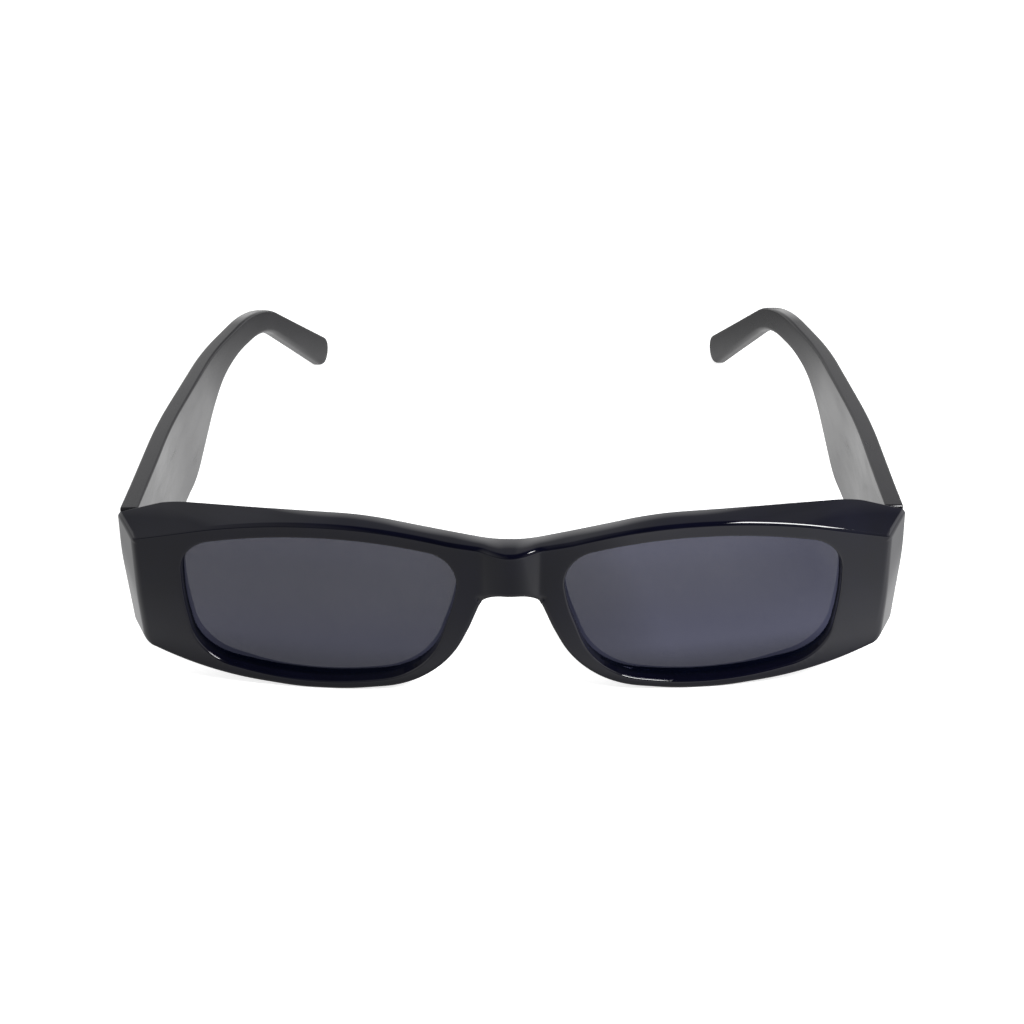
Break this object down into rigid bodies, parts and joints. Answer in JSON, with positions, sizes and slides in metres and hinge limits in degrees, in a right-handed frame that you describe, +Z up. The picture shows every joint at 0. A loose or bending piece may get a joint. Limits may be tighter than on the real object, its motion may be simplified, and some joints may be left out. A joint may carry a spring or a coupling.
{
  "type": "rectangular sunglasses",
  "caption": "Rectangular sunglasses with a thick curved front, dark lenses and broad paddle temples that narrow to bent tips and fold on barrel hinges.",
  "frame": {"origin": "on the surface the open glasses rest on, below the middle of their box", "axes": "+X to the wearer's left, +Y backward from the front along the temples, +Z up"},
  "size_m": [0.1426, 0.1394, 0.0355],
  "materials": {
    "front_plastic": "polished black",
    "temple_plastic": "polished black",
    "pad_plastic": "polished black",
    "lens": "polished dark grey tint",
    "hinge_metal": "satin nickel silver",
    "core_metal": "drawn wire",
    "screw_metal": "turned"
  },
  "bodies": {
    "front": {"front_frame": "front_plastic", "lens_left": "lens", "lens_right": "lens", "nose_pad_left": "pad_plastic", "nose_pad_right": "pad_plastic", "front_hinge_leaf_left": "hinge_metal", "front_hinge_leaf_right": "hinge_metal", "hinge_screw_left": "screw_metal", "hinge_screw_right": "screw_metal"},
    "left_temple": {"temple_left": "temple_plastic", "temple_hinge_leaf_left": "hinge_metal", "temple_core_left": "core_metal"},
    "right_temple": {"temple_right": "temple_plastic", "temple_hinge_leaf_right": "hinge_metal", "temple_core_right": "core_metal"}
  },
  "joints": [
    {"name": "left_temple_hinge", "type": "hinge", "parent": "front", "child": "left_temple", "pos_m": [0.06559, -0.05724, 0.021], "axis": [0, 0, 1], "range_deg": [0, 81]},
    {"name": "right_temple_hinge", "type": "hinge", "parent": "front", "child": "right_temple", "pos_m": [-0.06559, -0.05724, 0.021], "axis": [0, 0, -1], "range_deg": [0, 75.5]}
  ]
}
